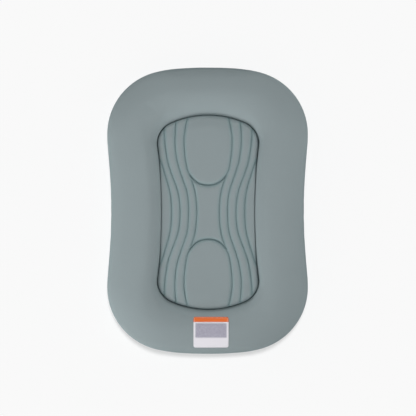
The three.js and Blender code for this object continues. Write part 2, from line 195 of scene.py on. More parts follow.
def placed(name, data):
    """A new object at the origin, linked to the scene."""
    made = bpy.data.objects.new(name, data)
    scene.collection.objects.link(made)
    return made


def mesh_piece(name, points, faces, materials=(), smooth=True, edges=()):
    mesh = bpy.data.meshes.new(name)
    points = np.asarray(points, float).tolist()
    mesh.from_pydata(points, list(edges), [list(face) for face in faces])
    mesh.update()
    if smooth:
        mesh.shade_smooth()
    for material in materials:
        mesh.materials.append(material)
    return placed(name, mesh)


def band_faces(rings, count, closed=False, flip=False):
    """Quads that join rings of equal count; closed joins the last ring to the first."""
    faces = []
    for band in range(rings if closed else rings - 1):
        low, high = band * count, ((band + 1) % rings) * count
        for i in range(count):
            j = (i + 1) % count
            face = (low + i, low + j, high + j, high + i)
            faces.append(face[::-1] if flip else face)
    return faces


def fan(start, count, middle):
    """Triangles from a ring to a middle point."""
    return [(start + i, start + (i + 1) % count, middle) for i in range(count)]


def face_outwards(piece):
    shell = bmesh.new()
    shell.from_mesh(piece.data)
    bmesh.ops.recalc_face_normals(shell, faces=shell.faces)
    shell.to_mesh(piece.data)
    shell.free()
    piece.data.update()
    return piece


def flat_ended(name, rings, materials=(), smooth=True):
    """A closed body from rings of equal count, with a flat face at each end."""
    count = len(rings[0])
    last = (len(rings) - 1) * count
    faces = band_faces(len(rings), count)
    faces += [tuple(range(count - 1, -1, -1)), tuple(range(last, last + count))]
    return face_outwards(mesh_piece(name, np.vstack(rings), faces, materials, smooth))


def fan_ended(name, rings, low, high, materials=()):
    """A closed body from rings of equal count, each end drawn to a point at its height."""
    count = len(rings[0])
    points = np.vstack([*rings, [[0, 0, low]], [[0, 0, high]]])
    faces = band_faces(len(rings), count) + fan(0, count, len(points) - 2)
    faces += fan((len(rings) - 1) * count, count, len(points) - 1)
    return face_outwards(mesh_piece(name, points, faces, materials))


def read(items, label, width=3):
    """One row of numbers for each item."""
    flat = np.empty(len(items) * width)
    items.foreach_get(label, flat)
    return flat.reshape(-1, width)


def places(piece):
    return read(piece.data.vertices, "co")


def settle(piece):
    """Applies the modifiers: the evaluated mesh takes the place of the piece's own."""
    depsgraph = bpy.context.evaluated_depsgraph_get()
    made = bpy.data.meshes.new_from_object(piece.evaluated_get(depsgraph), depsgraph=depsgraph)
    made.name = piece.name
    piece.modifiers.clear()
    piece.data = made
    return piece


def drop(*pieces):
    for piece in pieces:
        bpy.data.objects.remove(piece)


def modified(piece, kind, **settings):
    """Adds a modifier with these settings."""
    made = piece.modifiers.new(kind.lower(), kind)
    for name, value in settings.items():
        setattr(made, name, value)
    return made


def declared(piece, body, slot, *nodes):
    """Sets a piece on the body that it rides on, and hides the nodes of the CAD that it stands for;
    slot is not used.
    """
    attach(piece, body)
    if nodes:
        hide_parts(*nodes)
    return piece


CLOTH = {
    "pin_stiffness": 1, "mass": 0.3, "tension_stiffness": 20, "compression_stiffness": 20,
    "bending_stiffness": 0.8, "use_pressure": True,
}
CLOTH_STEPS = 20


def swell(piece, held, pressure, most):
    """Blows a sewn skin up with the Cloth simulation. held is each vertex's share of hold,
    and no vertex moves further than most."""
    start = places(piece)
    group = piece.vertex_groups.new(name="held")
    for share in np.unique(held):
        group.add(np.flatnonzero(held == share).tolist(), float(share), "REPLACE")
    cloth = modified(piece, "CLOTH")
    cloth.settings.vertex_group_mass = group.name
    for name, value in CLOTH.items():
        setattr(cloth.settings, name, value)
    cloth.settings.uniform_pressure_force = pressure
    cloth.settings.effector_weights.gravity = 0
    cloth.collision_settings.use_collision = False
    cloth.point_cache.frame_start, cloth.point_cache.frame_end = 1, CLOTH_STEPS
    for step in range(1, CLOTH_STEPS + 1):
        scene.frame_set(step)
    settle(piece)
    piece.vertex_groups.clear()
    scene.frame_set(1)
    moved = places(piece) - start
    length = np.maximum(np.linalg.norm(moved, axis=1, keepdims=True), 1e-9)
    points = start + moved * np.tanh(length / most) * most / length
    piece.data.vertices.foreach_set("co", points.ravel())
    piece.data.update()


# Node trees

FLOAT, COLOUR, THING = "NodeSocketFloat", "NodeSocketColor", "NodeSocketObject"
SHAPE = "NodeSocketGeometry"


def new_tree(kind, name, output, **inputs):
    """A node group with named inputs and one output."""
    tree = bpy.data.node_groups.new(name, kind)
    for label, socket in inputs.items():
        tree.interface.new_socket(label.replace("_", " "), in_out="INPUT", socket_type=socket)
    tree.interface.new_socket(output[0], in_out="OUTPUT", socket_type=output[1])
    given = tree.nodes.new("NodeGroupInput").outputs
    return tree, given, tree.nodes.new("NodeGroupOutput").inputs[0]


def node(tree, kind, inputs=(), **named):
    """Adds a node, and returns its outputs. Inputs go by number, or by name with a capital;
    the other names are settings. A socket is linked, and any other value is set."""
    made = tree.nodes.new(kind)
    values = dict(inputs if isinstance(inputs, dict) else enumerate(inputs))
    for name, value in named.items():
        if name[0].isupper():
            values[name.replace("_", " ")] = value
        else:
            setattr(made, name, value)
    for socket, value in values.items():
        if isinstance(value, bpy.types.NodeSocket):
            tree.links.new(value, made.inputs[socket])
        else:
            made.inputs[socket].default_value = value
    return made.outputs


def maths(tree, operation, *values):
    return node(tree, "ShaderNodeMath", values, operation=operation)[0]


def folded(tree, operation, values):
    """One value from several, taken two by two."""
    whole, *others = values
    for value in others:
        whole = maths(tree, operation, whole, value)
    return whole


def vector_maths(tree, operation, *values):
    return node(tree, "ShaderNodeVectorMath", values, operation=operation)[0]


def scaled(tree, vector, share):
    return node(tree, "ShaderNodeVectorMath", [vector], operation="SCALE", Scale=share)[0]


def parts_of(tree, vector):
    return node(tree, "ShaderNodeSeparateXYZ", [vector])


def mixed(tree, share, first, second):
    values = {"Factor": share, 6: first, 7: second}
    return node(tree, "ShaderNodeMix", values, data_type="RGBA")[2]


def on_object(tree):
    return node(tree, "ShaderNodeTexCoord")["Object"]


def noise(tree, place, scale, detail):
    return node(tree, "ShaderNodeTexNoise", Vector=place, Scale=scale, Detail=detail)


# Finishes

THREAD_WANDER = 0.0012


def weave_group():
    """Threads that cross over and under each other, on the plane that the surface faces most.
    Pitch is the threads' spacing."""
    group, given, height = new_tree("ShaderNodeTree", "crossed_threads", ("Height", FLOAT),
                                    Pitch=FLOAT, Unevenness=FLOAT)
    place = on_object(group)
    drift = noise(group, place, scale=60.0, detail=1.0)["Color"]
    offset = vector_maths(group, "SUBTRACT", drift, (0.5, 0.5, 0.5))
    moved = vector_maths(group, "ADD", place, scaled(group, offset, THREAD_WANDER))
    per_metre = maths(group, "DIVIDE", 2 * math.pi, given["Pitch"])
    along = parts_of(group, scaled(group, moved, per_metre))
    waves = [maths(group, "SINE", part) for part in along]
    facing = vector_maths(group, "ABSOLUTE", node(group, "ShaderNodeTexCoord")["Normal"])
    shares = [maths(group, "POWER", part, 3.0) for part in parts_of(group, facing)]
    total = folded(group, "ADD", shares)
    crossed = []
    for share, (first, second) in zip(shares, ((1, 2), (0, 2), (0, 1))):
        woven = maths(group, "MULTIPLY", waves[first], waves[second])
        crossed.append(maths(group, "MULTIPLY", woven, maths(group, "DIVIDE", share, total)))
    fuzz = noise(group, place, scale=900.0, detail=2.0)["Fac"]
    rough = maths(group, "MULTIPLY", fuzz, given["Unevenness"])
    half = maths(group, "MULTIPLY_ADD", folded(group, "ADD", crossed), 0.5, 0.5)
    group.links.new(maths(group, "ADD", half, rough), height)
    return group


def mottle_group():
    """A colour that varies a little: broad soft patches, and fine flecks of single fibres."""
    group, given, colour = new_tree("ShaderNodeTree", "mottled_colour", ("Colour", COLOUR),
                                    Colour=COLOUR, Patches=FLOAT, Flecks=FLOAT, Fleck_Scale=FLOAT)
    place = on_object(group)
    levels = [1.0]
    for share, scale, detail in (("Patches", 9.0, 2.0), ("Flecks", given["Fleck Scale"], 1.0)):
        spread = maths(group, "MULTIPLY_ADD", noise(group, place, scale, detail)["Fac"], 2.0, -1.0)
        levels.append(maths(group, "MULTIPLY", spread, given[share]))
    level = folded(group, "ADD", levels)
    group.links.new(scaled(group, given["Colour"], level), colour)
    return group


crossed_threads = weave_group()
mottled_colour = mottle_group()


def material_with(name, **constants):
    """A material with one Principled BSDF, its constants set on the shader's own sockets."""
    made = bpy.data.materials.new(name)
    made.use_nodes = True
    sockets = made.node_tree.nodes["Principled BSDF"].inputs
    for label, value in constants.items():
        sockets[label.replace("_", " ")].default_value = value
    return made, made.node_tree, sockets


def placed_group(tree, group, **values):
    return node(tree, "ShaderNodeGroup", node_tree=group, **values)[0]


def toned(tree, colour, patches, flecks, fleck_scale):
    return placed_group(tree, mottled_colour, Colour=(*colour, 1), Patches=patches,
                        Flecks=flecks, Fleck_Scale=fleck_scale)


def dress(tree, sockets, colour, height, relief):
    """Links a material's colour, and the height that its bump is made from."""
    tree.links.new(colour, sockets["Base Color"])
    bumped = node(tree, "ShaderNodeBump", Height=height, Distance=relief)
    tree.links.new(bumped["Normal"], sockets["Normal"])


# Tint of the painted shade in the channels: less red, like light bounced between teal cloth
PAINTED_SHADE_TINT = (0.86, 1.0, 1.0)
SHEEN_TINT = (0.55, 0.9, 0.95, 1)


def cloth_material(name, colour, pitch, relief, flecks=0.06, painted_groove_shade=0.0):
    """Woven cloth; the last argument is how much painted shade darkens its pressed channels."""
    made, tree, sockets = material_with(
        name, Sheen_Weight=0.15, Sheen_Roughness=0.6, Sheen_Tint=SHEEN_TINT, Roughness=0.92,
        Specular_IOR_Level=0.15)
    surface = toned(tree, colour, patches=0.02, flecks=flecks, fleck_scale=900.0)
    # Painted shade: the colour is darker and tinted near the channels, where less light reaches, by
    # the groove attribute
    if painted_groove_shade:
        groove = node(tree, "ShaderNodeAttribute", attribute_name="groove")["Fac"]
        painted_shade_share = maths(tree, "MULTIPLY", maths(tree, "POWER", groove, 3.0), painted_groove_shade)
        tinted = vector_maths(tree, "MULTIPLY", surface, PAINTED_SHADE_TINT)
        shaded = scaled(tree, tinted, maths(tree, "SUBTRACT", 1.0, painted_shade_share))
        surface = mixed(tree, groove, surface, shaded)
    threads = placed_group(tree, crossed_threads, Pitch=pitch, Unevenness=0.5)
    dress(tree, sockets, surface, threads, relief)
    return made


COVER_COLOUR = (0.272, 0.3185, 0.3285)
rim_cloth = cloth_material("rim_knit", COVER_COLOUR, pitch=0.0011, relief=0.00012)
# The pad's cloth has painted shade in its channels
pad_cloth = cloth_material("pad_knit", COVER_COLOUR, pitch=0.0011, relief=0.00012, painted_groove_shade=0.2)
base_cloth = cloth_material("underside_weave", (0.20, 0.235, 0.245), pitch=0.0016, relief=0.0003)
thread_finish = cloth_material("grey_thread", (0.27, 0.315, 0.325), pitch=0.0004, relief=0.00005,
                               flecks=0.12)
tape_cloth = cloth_material("zip_tape_weave", (0.19, 0.225, 0.235), pitch=0.0007, relief=0.0001)
white_thread = cloth_material("white_thread", (0.80, 0.79, 0.82), pitch=0.0004, relief=0.00005)


def foam_material():
    made, tree, sockets = material_with("open_cell_foam", Roughness=0.95, Specular_IOR_Level=0.2)
    cells = node(tree, "ShaderNodeTexVoronoi", Vector=on_object(tree), Scale=650.0)
    tone = toned(tree, (0.81, 0.77, 0.67), patches=0.03, flecks=0.08, fleck_scale=700.0)
    dress(tree, sockets, tone, cells["Distance"], relief=0.0006)
    return made


def satin_material(name, colour, panel_sides=(), panel_colour=None):
    """Fine satin ribs; panel_sides gives a woven panel's lower and upper end on each axis."""
    made, tree, sockets = material_with(name, Roughness=0.55, Specular_IOR_Level=0.4)
    surface = toned(tree, colour, patches=0.01, flecks=0.04, fleck_scale=1500.0)
    place = on_object(tree)
    if panel_sides:
        axes, past = parts_of(tree, place), []
        for axis, low, high in panel_sides:
            for end, fade in ((low, PANEL_FADE), (high, -PANEL_FADE)):
                values = [axes[axis], end - fade, end + fade]
                past.append(node(tree, "ShaderNodeMapRange", values)[0])
        wear = noise(tree, place, scale=420.0, detail=2.0)["Fac"]
        worn = maths(tree, "MULTIPLY_ADD", wear, 0.9, 0.5)
        share = maths(tree, "MULTIPLY", folded(tree, "MULTIPLY", past), worn)
        surface = mixed(tree, share, surface, (*panel_colour, 1))
    ribs = node(tree, "ShaderNodeTexWave", bands_direction="Y", Vector=place, Scale=260.0,
                Distortion=0.4)
    dress(tree, sockets, surface, ribs["Fac"], relief=0.00006)
    return made


def shell_material(name, colour, roughness, metallic=0.0):
    """Moulded plastic or painted metal: a little uneven in colour, gloss and face."""
    made, tree, sockets = material_with(name, Metallic=metallic, Specular_IOR_Level=0.5)
    scuffs = noise(tree, on_object(tree), scale=1400.0, detail=3.0)["Fac"]
    spread = 0.16
    uneven = maths(tree, "MULTIPLY_ADD", scuffs, spread, roughness - spread / 2)
    tree.links.new(uneven, sockets["Roughness"])
    tone = toned(tree, colour, patches=0.03, flecks=0.05, fleck_scale=1800.0)
    dress(tree, sockets, tone, scuffs, relief=0.00002)
    return made


foam_finish = foam_material()


# Rim

def between(pair, share):
    return pair[0] + (pair[1] - pair[0]) * share


def eased(share):
    share = np.clip(share, 0, 1)
    return share * share * (3 - 2 * share)


def widening(y):
    """0 at the waist, 1 where the sides are wide."""
    return eased((np.abs(y) - WAIST_HALF) / WIDENING_LENGTH)


def rim_skin_rings():
    """The rim's outer face: under the outer edge, up the side, over the crown, and down the
    inner slope and the well's wall."""
    outer, crown, well = (line.loop(0) for line in (outer_line, crown_line, well_line))
    step = 0.01
    endwise = ((outer - outer_line.loop(step))[:, 1] / step) ** 2
    slope = between(TOP_FALL, endwise) + CORNER_FALL * 4 * endwise * (1 - endwise)
    fall = slope * np.linalg.norm(outer - crown, axis=1)
    rounding, power = between(TOP_ROUND, endwise), between(EDGE_POWER, endwise)
    inner_drop = between(INNER_DROPS, endwise ** 2)
    side_drops = (CORNER_DROPS["waist"], CORNER_DROPS["side"])
    side_drop = between(side_drops, widening(outer[:, 1]))
    end_drop = np.where(outer[:, 1] > 0, CORNER_DROPS["head"], CORNER_DROPS["foot"])
    corner_z = RIM_HEIGHT - between((side_drop, end_drop), endwise ** 2)
    round_foot = RIM_HEIGHT - ROUND_HEIGHT
    hem_insets = np.linspace(HEM_WIDTH, UNDER_TURN, 4)[:-1]
    rings = [lift(outer_line.loop(inset), SKIN_FOOT) for inset in hem_insets]
    rings += turned_under(outer_line, 0, SKIN_FOOT, UNDER_TURN, 6)
    side_heights = np.linspace(SKIN_FOOT + UNDER_TURN, round_foot, 7)[1:-1]
    rings += [lift(outer, z) for z in side_heights]
    whole_fall = fall * (np.sqrt(1 + rounding ** 2) - rounding)
    for turn in quarter_turn(19):
        reach = (math.cos(turn) ** power + math.sin(turn) ** power) ** (-1 / power)
        out, up = reach * math.cos(turn), reach * math.sin(turn)
        top = RIM_HEIGHT - fall * (np.sqrt(out ** 2 + rounding ** 2) - rounding)
        height = top - (RIM_HEIGHT - whole_fall - round_foot) * (1 - up)
        rings.append(lift(crown + (outer - crown) * out[:, None], height))
    for share in np.linspace(0, 1, 9)[1:] * SLOPE_SHARE:
        rings.append(lift(crown + (well - crown) * share, RIM_HEIGHT - inner_drop * share ** 2))
    wall_z = corner_z - CORNER_ROUND
    edge, corner, wall_top = rings[-1], lift(well, corner_z), lift(well, wall_z)
    for t in np.linspace(0, 1, 9)[1:]:
        rings.append((1 - t) ** 2 * edge + 2 * t * (1 - t) * corner + t ** 2 * wall_top)
    rings += [lift(well, z) for z in np.linspace(wall_z, WELL_FLOOR, 7)[1:]]
    return np.array(rings)


def blown_rim_skin():
    """The rim's outer face after the cover has been filled, as rings of points."""
    rings = rim_skin_rings()
    points = rings.reshape(-1, 3)
    faces = band_faces(*rings.shape[:2], closed=True, flip=True)
    skin = mesh_piece("rim_skin", points, faces)
    in_hem = np.clip((HEM_WIDTH - outer_line.distance(points[:, :2])) / HEM_WIDTH, 0, 1)
    under = (points[:, 2] < SKIN_FOOT + UNDER_TURN) * (1 - in_hem * HEM_EASE)
    near_well = well_line.distance(points[:, :2]) > -NEAR
    wall_top = RIM_HEIGHT - CORNER_DROPS["waist"] - CORNER_ROUND
    held = np.where(near_well & (points[:, 2] < wall_top), 1.0, np.round(under, 1))
    held = np.where(points[:, 2] < SKIN_FOOT + NEAR, 1.0, held)
    swell(skin, held, RIM_PRESSURE, RIM_SWELL)
    blown = places(skin).reshape(rings.shape)
    drop(skin)
    return blown


def make_rim_cover():
    points, faces = rim_skin.reshape(-1, 3), band_faces(*rim_skin.shape[:2], flip=True)
    cover = mesh_piece("rim_fabric", points, faces, [rim_cloth])
    modified(cover, "SUBSURF", levels=1, render_levels=1)
    modified(cover, "SOLIDIFY", thickness=COVER_THICKNESS, offset=-1)
    settle(cover)
    declared(cover, "lounger", "fabric", "rim_cover")
    return cover


rim_skin = blown_rim_skin()
rim_fabric = make_rim_cover()


# Pad

PAD_WALL_HEIGHTS = (0.056, 0.049, 0.042, 0.035, PAD_COVER_FOOT)
PAD_MIDDLE = 0.045
LINING_MIDDLE = 0.042
FORM_VOXEL = 0.005
LINE_SPACING = 0.0025
LINE_MARGIN = 0.001
STITCH_MARGIN = 0.004

# The room that points of the pad's plan keep on the lines, at the shoulder and in between,
# and how far the rows beside the lines and the grid in between stay from the edge
LINE_ROOM = 0.0004
SHOULDER_ROOM = 0.0014
GRID_ROOM = 0.0024
ROW_MARGIN = 0.0006
GRID_MARGIN = 0.004
GRID_STEP = 0.0034
SCATTER_CELL = 0.0025


def pad_top(points):
    """The height of the pad's plain top: flat, and rounded off over a shoulder that drops
    less at the waist."""
    share = np.clip((pad_line.distance(points) - PAD_CLEARANCE) / PAD_SHOULDER_WIDTH, 0, 1)
    drop = between((WAIST_SHOULDER_DROP, PAD_SHOULDER_DROP), widening(points[:, 1]))
    return PAD_CREST - PAD_SWELL - drop * (1 - np.sqrt(1 - (1 - share) ** 2))


def shoulder_rings(inset, top, count, steps=FINE_STEPS):
    return rounded_off(pad_line, inset, top, PAD_SHOULDER_WIDTH, PAD_SHOULDER_DROP, count, steps)


def surface_of(piece):
    return BVHTree.FromObject(piece, bpy.context.evaluated_depsgraph_get())


def met_from_above(surface, x, y):
    """Where a line straight down meets the surface, and the normal there."""
    return surface.ray_cast(Vector((x, y, 2 * RIM_HEIGHT)), Vector((0, 0, -1)))[:2]


def blown_pad():
    """The pad's plain form, remeshed and blown up, whose top gives the pad its crown."""
    crest = PAD_CREST - PAD_SWELL
    side = pad_line.loop(PAD_CLEARANCE, FORM_STEPS)
    rings = [lift(side, z) for z in (PAD_COVER_FOOT, PAD_MIDDLE)]
    rings += shoulder_rings(PAD_CLEARANCE, crest, 5, FORM_STEPS)
    form = fan_ended("pad_form", rings, PAD_COVER_FOOT, crest)
    modified(form, "REMESH", mode="VOXEL", voxel_size=FORM_VOXEL)
    settle(form)
    held = np.where(places(form)[:, 2] < crest - PAD_SHOULDER_DROP, 1.0, 0.0)
    swell(form, held, PAD_PRESSURE, PAD_SWELL)
    modified(form, "SMOOTH", factor=0.5, iterations=10)
    modified(form, "SUBSURF", levels=1, render_levels=1)
    settle(form)
    surface = surface_of(form)
    drop(form)
    return surface


def respaced(line, spacing):
    """The same line, with points at even spacing."""
    lengths = np.linalg.norm(np.diff(line, axis=0), axis=1)
    along = np.concatenate([[0], np.cumsum(lengths)])
    even = np.linspace(0, along[-1], max(2, round(along[-1] / spacing) + 1))
    return np.column_stack([np.interp(even, along, line[:, k]) for k in range(line.shape[1])])


def smooth_line(points):
    """Points at even spacing along a smooth curve through the given ones."""
    known = np.asarray(points, float)
    known = np.vstack([2 * known[0] - known[1], known, 2 * known[-1] - known[-2]])
    t = np.linspace(0, 1, 30, endpoint=False)[:, None]
    parts = []
    for a, b, c, d in zip(known, known[1:], known[2:], known[3:]):
        bend, twist = 2 * a - 5 * b + 4 * c - d, 3 * b - a - 3 * c + d
        parts.append(0.5 * (2 * b + (c - a) * t + bend * t ** 2 + twist * t ** 3))
    return respaced(np.vstack([*parts, known[-2:-1]]), LINE_SPACING)


def kept_runs(line, keep):
    """The unbroken runs of a line's kept points."""
    ends = np.flatnonzero(np.diff(np.concatenate([[0], keep, [0]]).astype(int)))
    runs = [line[start:end] for start, end in zip(ends[::2], ends[1::2])]
    return [run for run in runs if len(run) > 3]


def channel_lines():
    """The middle lines of the long channels and of the ovals' round ends, in plan."""
    width, length = WELL_PLAN[0] / 2, WELL_PLAN[1] / 2
    long_lines, oval_ends = [], []
    for sign in (-1, 1):
        for shares in CHANNEL_SHARES:
            half = [(sign * across * width, along * length) for along, across in shares]
            line = smooth_line([(x, -y) for x, y in half[:0:-1]] + half) + WELL_CENTRE
            long_lines += kept_runs(line, pad_line.distance(line) > PAD_CLEARANCE + LINE_MARGIN)
        half = [(across * width, sign * along * length) for along, across in OVAL_END_SHARES]
        oval_ends.append(smooth_line([(-x, y) for x, y in half[:0:-1]] + half) + WELL_CENTRE)
    return long_lines, oval_ends


def beside(line, offset):
    along = np.gradient(line, axis=0)
    along /= np.linalg.norm(along, axis=1, keepdims=True)
    return line + offset * np.column_stack([-along[:, 1], along[:, 0]])


class Scatter:
    """Plan points that keep a distance from those that are there already."""

    def __init__(self):
        self.cells, self.points = {}, []

    def add(self, points, apart):
        """Adds the points that have room, and returns each one's number, or -1."""
        numbers = []
        for x, y in points:
            i, j = int(x // SCATTER_CELL), int(y // SCATTER_CELL)
            near = [place for a in (i - 1, i, i + 1) for b in (j - 1, j, j + 1)
                    for place in self.cells.get((a, b), ())]
            if any((a - x) ** 2 + (b - y) ** 2 < apart * apart for a, b in near):
                numbers.append(-1)
                continue
            self.cells.setdefault((i, j), []).append((x, y))
            numbers.append(len(self.points))
            self.points.append((x, y))
        return numbers

    def add_border(self, border):
        """Adds a closed border whole, and returns its edges."""
        numbers = self.add(border, 0.0)
        return list(zip(numbers, numbers[1:] + numbers[:1]))

    def filled(self, edges):
        """The points in use, the triangles inside the border, and the numbers that each
        point had."""
        found = delaunay_2d_cdt([Vector(p) for p in self.points], edges, [], 1, 1e-7)
        return np.array([tuple(p) for p in found[0]]), [tuple(f) for f in found[2]], found[3]


# Rows of points beside each channel: offset, and room between points
SIDE_ROWS = ((0.0005, 0.0004), (0.0011, 0.0006), (0.0019, 0.0007), (0.0029, 0.0009),
             (0.0041, 0.0011), (0.0056, 0.0014))


def pad_plan(lines):
    """The top's plan mesh: points along and beside every channel, round the shoulder, and
    evenly in between."""
    def inside(points, room):
        return points[pad_line.distance(points) > PAD_CLEARANCE + room]

    scatter = Scatter()
    border = pad_line.loop(PAD_CLEARANCE, PAD_STEPS)
    edges = scatter.add_border(border)
    for line in lines:
        numbers = scatter.add(line, LINE_ROOM)
        edges += [(a, b) for a, b in zip(numbers, numbers[1:]) if a >= 0 and b >= 0]
    for offset, apart in SIDE_ROWS:
        for line in lines:
            for side in (-1, 1):
                scatter.add(inside(beside(line, side * offset), ROW_MARGIN), apart)
    for turn in quarter_turn(9)[1:]:
        inset = PAD_CLEARANCE + PAD_SHOULDER_WIDTH * (1 - math.cos(turn))
        scatter.add(pad_line.loop(inset, PAD_STEPS), min(SHOULDER_ROOM, 0.4 * inset))
    columns, rows = np.meshgrid(np.arange(-40, 41), np.arange(-86, 87))
    across = (columns + 0.5 * (rows % 2)) * GRID_STEP
    grid = np.column_stack([across.ravel(), (rows * GRID_STEP * 0.9).ravel()])
    scatter.add(inside(grid, GRID_MARGIN), GRID_ROOM)
    points, faces, came_from = scatter.filled(edges)
    at = {number: i for i, numbers in enumerate(came_from) for number in numbers}
    return points, faces, [at[i] for i in range(len(border))]


def run_tree(piece, tree, **values):
    """Runs a tree on the piece with these inputs, each set by its socket's identifier, and
    keeps the plain mesh."""
    worked = modified(piece, "NODES", node_group=tree)
    for socket in tree.interface.items_tree:
        label = socket.name.replace(" ", "_")
        if socket.in_out == "INPUT" and label in values:
            worked[socket.identifier] = values[label]
    return settle(piece)


def pressed_channels_tree():
    """Presses rounded banks into a surface on both sides of every line, and keeps how near
    the line a point is as groove."""
    tree, given, result = new_tree(
        "GeometryNodeTree", "pressed_channels", ("Geometry", SHAPE), Geometry=SHAPE,
        Long_Channels=THING, Oval_Ends=THING, Half_Width=FLOAT, Long_Depth=FLOAT, Oval_Depth=FLOAT)
    flat = vector_maths(tree, "MULTIPLY", node(tree, "GeometryNodeInputPosition")[0], (1, 1, 0))
    depths, shares = [], []
    for lines, depth in (("Long Channels", "Long Depth"), ("Oval Ends", "Oval Depth")):
        held = node(tree, "GeometryNodeObjectInfo", Object=given[lines])["Geometry"]
        near = node(tree, "GeometryNodeProximity", [held], target_element="EDGES",
                    Sample_Position=flat)["Distance"]
        away = maths(tree, "DIVIDE", near, given["Half Width"])
        share = maths(tree, "MAXIMUM", maths(tree, "SUBTRACT", 1.0, away), 0.0)
        squared = maths(tree, "MULTIPLY", share, share)
        bank = maths(tree, "SQRT", maths(tree, "SUBTRACT", 1.0, squared))
        shares.append(share)
        depths.append(maths(tree, "MULTIPLY", maths(tree, "SUBTRACT", 1.0, bank), given[depth]))
    down = maths(tree, "MULTIPLY", maths(tree, "MAXIMUM", *depths), -1.0)
    kept = node(tree, "GeometryNodeStoreNamedAttribute", data_type="FLOAT", domain="POINT",
                Geometry=given["Geometry"], Name="groove", Value=maths(tree, "MAXIMUM", *shares))
    moved = node(tree, "GeometryNodeSetPosition", Geometry=kept[0],
                 Offset=node(tree, "ShaderNodeCombineXYZ", Z=down)[0])
    tree.links.new(moved[0], result)
    return tree


def row_tree():
    """A small piece set out along a path at an even pitch, turned along it, each a little
    longer or shorter than the next."""
    tree, given, result = new_tree(
        "GeometryNodeTree", "row_along_path", ("Geometry", SHAPE), Geometry=SHAPE, Piece=THING,
        Pitch=FLOAT, Unevenness=FLOAT, Seed="NodeSocketInt", Finish="NodeSocketMaterial")
    curve = node(tree, "GeometryNodeMeshToCurve", [given["Geometry"]])[0]
    spaced = node(tree, "GeometryNodeResampleCurve", mode="LENGTH", Curve=curve,
                  Length=given["Pitch"])[0]
    along = node(tree, "GeometryNodeInputTangent")[0]
    turned = node(tree, "FunctionNodeAlignRotationToVector", axis="X", Vector=along)[0]
    low, high = (maths(tree, way, 1.0, given["Unevenness"]) for way in ("SUBTRACT", "ADD"))
    drawn = node(tree, "FunctionNodeRandomValue", {2: low, 3: high}, data_type="FLOAT",
                 Seed=given["Seed"])[1]
    size = node(tree, "ShaderNodeCombineXYZ", [drawn, 1.0, 1.0])[0]
    one = node(tree, "GeometryNodeObjectInfo", Object=given["Piece"])["Geometry"]
    row = node(tree, "GeometryNodeInstanceOnPoints", Points=spaced, Instance=one,
               Rotation=turned, Scale=size)[0]
    real = node(tree, "GeometryNodeRealizeInstances", [row])[0]
    finish = node(tree, "GeometryNodeSetMaterial", Geometry=real, Material=given["Finish"])
    tree.links.new(finish[0], result)
    return tree


pressed_channels = pressed_channels_tree()
row_along_path = row_tree()


def path_piece(name, lines):
    """Lines as a mesh of edges only. A closed line repeats no point."""
    points, edges = [], []
    for line, closed in lines:
        start, count = len(points), len(line)
        points += [tuple(p) for p in line]
        edges += [(start + i, start + (i + 1) % count) for i in range(count - 1 + closed)]
    return mesh_piece(name, points, [], smooth=False, edges=edges)


def row_of(name, lines, piece, pitch, finish, unevenness=0.0, seed=1):
    made = path_piece(name, lines)
    run_tree(made, row_along_path, Piece=piece, Pitch=pitch, Unevenness=unevenness, Seed=seed,
             Finish=finish)
    made.data.shade_smooth()
    return made


STITCH_LENGTH = 0.0026
STITCH_PITCH = 0.0034
THREAD_RADIUS = 0.0003
STITCH_DIP = 1.2
SEAM_PROUD = 0.0001


def stitch_pattern():
    """One stitch: a thread that bulges in the middle and dips into the cloth at both ends."""
    across, up = full_turn(6)
    rings = [np.column_stack([
        np.full(len(up), t * STITCH_LENGTH / 2),
        THREAD_RADIUS * width * across,
        THREAD_RADIUS * (width * up - STITCH_DIP * t * t),
    ]) for t, width in ((-1, 0.3), (-0.7, 0.85), (0, 1.0), (0.7, 0.85), (1, 0.3))]
    return flat_ended("stitch", rings)


stitch = stitch_pattern()


def crown_heights(plan, form):
    """The plain top's heights, with the blown form's crown away from the edge."""
    plain = pad_top(plan)
    share = eased((pad_line.distance(plan) - PAD_CLEARANCE) / (2 * PAD_SHOULDER_WIDTH))
    blown = plain.copy()
    for i, (x, y) in enumerate(plan):
        hit = met_from_above(form, x, y)[0]
        if hit:
            blown[i] = hit.z
    return plain * (1 - share) + blown * share


def make_pad_cover():
    """The quilted top with its channels, the side wall, and the lining inside them."""
    long_lines, oval_ends = channel_lines()
    plan, faces, ring = pad_plan(long_lines + oval_ends)
    top = mesh_piece("pad_top", lift(plan, crown_heights(plan, blown_pad())), faces)
    long_paths, oval_paths = (path_piece(name, [(lift(line, 0), False) for line in lines])
                              for name, lines in (("long", long_lines), ("oval", oval_ends)))
    run_tree(top, pressed_channels, Long_Channels=long_paths, Oval_Ends=oval_paths,
             Half_Width=CHANNEL_HALF_WIDTH, Long_Depth=CHANNEL_DEPTH, Oval_Depth=OVAL_DEPTH)
    quilt = places(top)
    groove = read(top.data.attributes["groove"].data, "value", 1).ravel()
    drop(top, long_paths, oval_paths)

    outer_loop = pad_line.loop(PAD_CLEARANCE, PAD_STEPS)
    inner_loop = pad_line.loop(PAD_CLEARANCE + PAD_WALL, PAD_STEPS)
    quilt_foot = PAD_CREST - PAD_QUILT
    wall = [lift(outer_loop, z) for z in PAD_WALL_HEIGHTS]
    wall += [lift(inner_loop, z) for z in (PAD_COVER_FOOT, LINING_MIDDLE)]
    wall += shoulder_rings(PAD_CLEARANCE + PAD_WALL, quilt_foot, 5, PAD_STEPS)
    start = len(plan)
    for loop in wall:
        following = list(range(start, start + len(loop)))
        start += len(loop)
        faces += [(a, b, d, c) for a, b, c, d in zip(
            ring, ring[1:] + ring[:1], following, following[1:] + following[:1])]
        ring = following
    faces += fan(ring[0], len(ring), start)
    points = np.vstack([quilt, *wall, [[0, 0, quilt_foot]]])
    cover = face_outwards(mesh_piece("pad_fabric", points, faces, [pad_cloth]))
    kept = cover.data.attributes.new("groove", "FLOAT", "POINT")
    kept.data.foreach_set("value", np.pad(groove, (0, len(points) - len(groove))))
    declared(cover, "pad", "fabric", "pad_cover")
    return cover, long_lines + oval_ends


